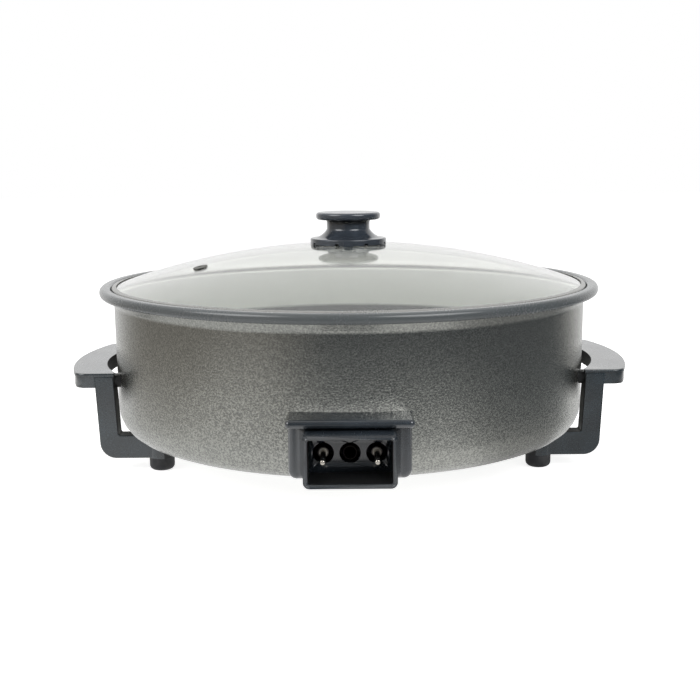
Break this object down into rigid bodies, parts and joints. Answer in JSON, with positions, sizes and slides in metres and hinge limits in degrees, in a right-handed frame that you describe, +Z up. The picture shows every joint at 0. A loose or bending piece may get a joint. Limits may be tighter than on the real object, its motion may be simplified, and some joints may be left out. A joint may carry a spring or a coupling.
{
  "type": "electric pizza maker",
  "caption": "Round electric pan with a domed glass lid, side handles that run down into legs, and a guarded socket for a plug-in thermostat.",
  "frame": {"origin": "centre of the bounding box on the worktop; the pan's axis is 12 mm behind it in +Y, because the socket guard stands out at the front", "axes": "+Z up, -Y towards the user and the thermostat socket, +X to the user's right along the handles"},
  "size_m": [0.4692, 0.444, 0.2054],
  "materials": {
    "hammered_paint": "hammer-finish enamel, satin",
    "nonstick_rim": "smooth dark non-stick coating, semi-gloss",
    "bakelite": "moulded phenolic, satin",
    "bakelite_gloss": "moulded phenolic, polished",
    "foot_rubber": "matt rubber",
    "polished_steel": "bright stainless",
    "zinc_steel": "zinc-plated steel",
    "nickel_pin": "nickel plate",
    "heater_steel": "heat-stained steel sheath",
    "plain_aluminium": "mill finish",
    "ceramic": "unglazed ceramic",
    "silicone": "black silicone",
    "lid_glass": "toughened glass"
  },
  "bodies": {
    "root": {"cooking_pan": "nonstick_rim", "outer_casing": "hammered_paint", "heat_spreader": "plain_aluminium", "heating_element": "heater_steel", "terminal_pin_left": "nickel_pin", "terminal_pin_right": "nickel_pin", "terminal_insulator_left": "ceramic", "terminal_insulator_right": "ceramic", "probe_sleeve": "plain_aluminium", "heat_reflector": "plain_aluminium", "centre_spacer": "zinc_steel", "centre_stud": "zinc_steel", "centre_washer": "zinc_steel", "centre_nut": "zinc_steel", "socket_guard": "bakelite", "guard_screws": "zinc_steel", "handle_left": "bakelite", "handle_right": "bakelite", "handle_screws": "zinc_steel", "foot_front_left": "foot_rubber", "foot_front_right": "foot_rubber", "foot_rear_left": "foot_rubber", "foot_rear_right": "foot_rubber", "foot_screws": "zinc_steel", "foot_nuts": "zinc_steel"},
    "lid": {"glass_dome": "lid_glass", "lid_band": "polished_steel", "vent_eyelet": "polished_steel", "knob_grip": "bakelite_gloss", "knob_base": "bakelite_gloss", "knob_gasket": "silicone", "knob_washer": "zinc_steel", "knob_screw": "zinc_steel"}
  },
  "joints": [
    {"name": "lid_lift", "type": "slide", "parent": "root", "child": "lid", "axis": [0, 0, 1], "range_m": [0, 0.15]}
  ]
}
